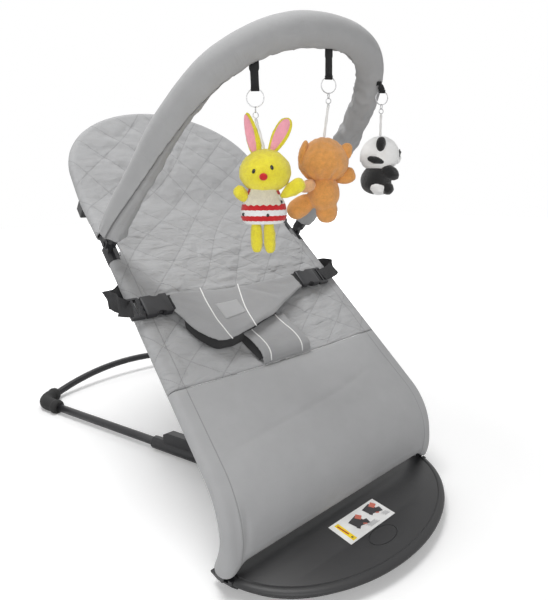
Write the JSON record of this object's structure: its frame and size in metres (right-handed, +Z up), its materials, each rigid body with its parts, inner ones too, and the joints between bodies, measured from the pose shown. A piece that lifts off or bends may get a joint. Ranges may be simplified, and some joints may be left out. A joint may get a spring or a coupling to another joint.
{
  "type": "baby bouncer",
  "caption": "Reclining fabric baby seat on a sprung tube frame with a half-moon floor plate, a waist harness and a padded toy bar with hanging plush toys.",
  "frame": {"origin": "on the floor in the plane of symmetry, under the grip band along the plate's straight rear edge", "axes": "+Z up, +Y towards the head end, +X to the right of somebody facing the head end"},
  "size_m": [0.4646, 0.8384, 0.6483],
  "materials": {
    "dark_plastic": "satin dark grey moulded plastic",
    "black_plastic": "black moulded plastic",
    "black_tube": "black powder coated steel tube",
    "rubber": "matt black rubber",
    "steel": "bright steel",
    "quilted_cloth": "grey quilted cotton",
    "plain_cloth": "grey plain cotton",
    "harness_cloth": "grey padded cotton",
    "bar_cloth": "light grey cotton over foam",
    "webbing": "black woven webbing",
    "label": "white label, bare",
    "yellow_plush": "yellow plush",
    "red_knit": "red and white knit",
    "brown_plush": "brown plush",
    "white_plush": "white plush",
    "black_plush": "black plush"
  },
  "bodies": {
    "base": {"front_plate": "dark_plastic", "plate_underside": "dark_plastic", "grip_ring": "rubber", "plate_cap": "dark_plastic", "plate_label": "label", "tube_clamp": "black_plastic", "hinge_bracket_left": "dark_plastic", "hinge_bracket_right": "dark_plastic", "hinge_pin_left": "steel", "hinge_pin_right": "steel", "base_tube_left": "black_tube", "base_tube_right": "black_tube", "rear_bar": "black_tube", "rear_foot_left": "rubber", "rear_foot_right": "rubber", "ratchet_left": "black_plastic", "ratchet_right": "black_plastic"},
    "seat": {"seat_rail_left": "black_tube", "seat_rail_right": "black_tube", "head_hoop": "black_tube", "seat_cloth_lower": "plain_cloth", "seat_cloth_upper": "quilted_cloth", "harness_flap": "harness_cloth", "crotch_band": "harness_cloth", "buckle_socket_left": "black_plastic", "buckle_socket_right": "black_plastic", "side_webbing_left": "webbing", "side_webbing_right": "webbing", "toy_bar_clip_left": "black_plastic", "toy_bar_clip_right": "black_plastic", "prop_hanger_left": "black_plastic", "prop_hanger_right": "black_plastic"},
    "prop": {"prop_frame": "black_tube", "prop_shoe": "black_plastic"},
    "plug_left": {"buckle_plug_left": "black_plastic"},
    "plug_right": {"buckle_plug_right": "black_plastic"},
    "toy_bar": {"toy_bar_rod": "black_plastic", "toy_bar_pad": "bar_cloth", "toy_bar_knuckle_left": "black_plastic", "toy_bar_knuckle_right": "black_plastic", "bunny_strap": "webbing", "bear_strap": "webbing", "panda_strap": "webbing"},
    "bunny_hook": {"bunny_ring": "steel"},
    "bear_hook": {"bear_ring": "steel"},
    "panda_hook": {"panda_ring": "steel"},
    "bunny": {"bunny_head": "yellow_plush", "bunny_body": "red_knit", "bunny_arm_left": "yellow_plush", "bunny_arm_right": "yellow_plush", "bunny_leg_left": "yellow_plush", "bunny_leg_right": "yellow_plush"},
    "bear": {"bear_head": "brown_plush", "bear_body": "brown_plush", "bear_arm_left": "brown_plush", "bear_arm_right": "brown_plush", "bear_leg_left": "brown_plush", "bear_leg_right": "brown_plush"},
    "panda": {"panda_head": "white_plush", "panda_body": "black_plush"}
  },
  "joints": [
    {"name": "seat_recline", "type": "hinge", "parent": "base", "child": "seat", "pos_m": [0, -0.01, 0.03], "axis": [1, 0, 0], "range_deg": [-38, 0]},
    {"name": "prop_swing", "type": "hinge", "parent": "seat", "child": "prop", "pos_m": [0, 0.38486, 0.42559], "axis": [1, 0, 0], "range_deg": [-23, 0]},
    {"name": "toy_bar_tilt", "type": "hinge", "parent": "seat", "child": "toy_bar", "pos_m": [0, 0.27203, 0.38113], "axis": [1, 0, 0], "range_deg": [-75, 20]},
    {"name": "buckle_left_release", "type": "slide", "parent": "seat", "child": "plug_left", "axis": [-1, 0, 0], "range_m": [0, 0.022], "deforming": ["side_webbing_left"]},
    {"name": "buckle_right_release", "type": "slide", "parent": "seat", "child": "plug_right", "axis": [1, 0, 0], "range_m": [0, 0.022], "deforming": ["side_webbing_right"]},
    {"name": "bunny_ring_swing", "type": "hinge", "parent": "toy_bar", "child": "bunny_hook", "pos_m": [-0.0891, 0.0442, 0.5625], "axis": [0.7716, -0.6361, 0], "range_deg": [-35, 35]},
    {"name": "bunny_toy_spin", "type": "hinge", "parent": "bunny_hook", "child": "bunny", "pos_m": [-0.0891, 0.0442, 0.53086], "axis": [0, 0, 1], "range_deg": [-60, 60]},
    {"name": "bear_ring_swing", "type": "hinge", "parent": "toy_bar", "child": "bear_hook", "pos_m": [0.0053, 0.0233, 0.582], "axis": [0.8829, -0.4695, 0], "range_deg": [-35, 35]},
    {"name": "bear_toy_spin", "type": "hinge", "parent": "bear_hook", "child": "bear", "pos_m": [0.0053, 0.0233, 0.55156], "axis": [0, 0, 1], "range_deg": [-60, 60]},
    {"name": "panda_ring_swing", "type": "hinge", "parent": "toy_bar", "child": "panda_hook", "pos_m": [0.1252, 0.0384, 0.5815], "axis": [0.8829, -0.4695, 0], "range_deg": [-35, 20]},
    {"name": "panda_toy_spin", "type": "hinge", "parent": "panda_hook", "child": "panda", "pos_m": [0.1252, 0.0384, 0.55146], "axis": [0, 0, 1], "range_deg": [-60, 60]}
  ],
  "couplings": [
    {"joint": "prop_swing", "follows": "seat_recline", "ratio": 0.6}
  ]
}
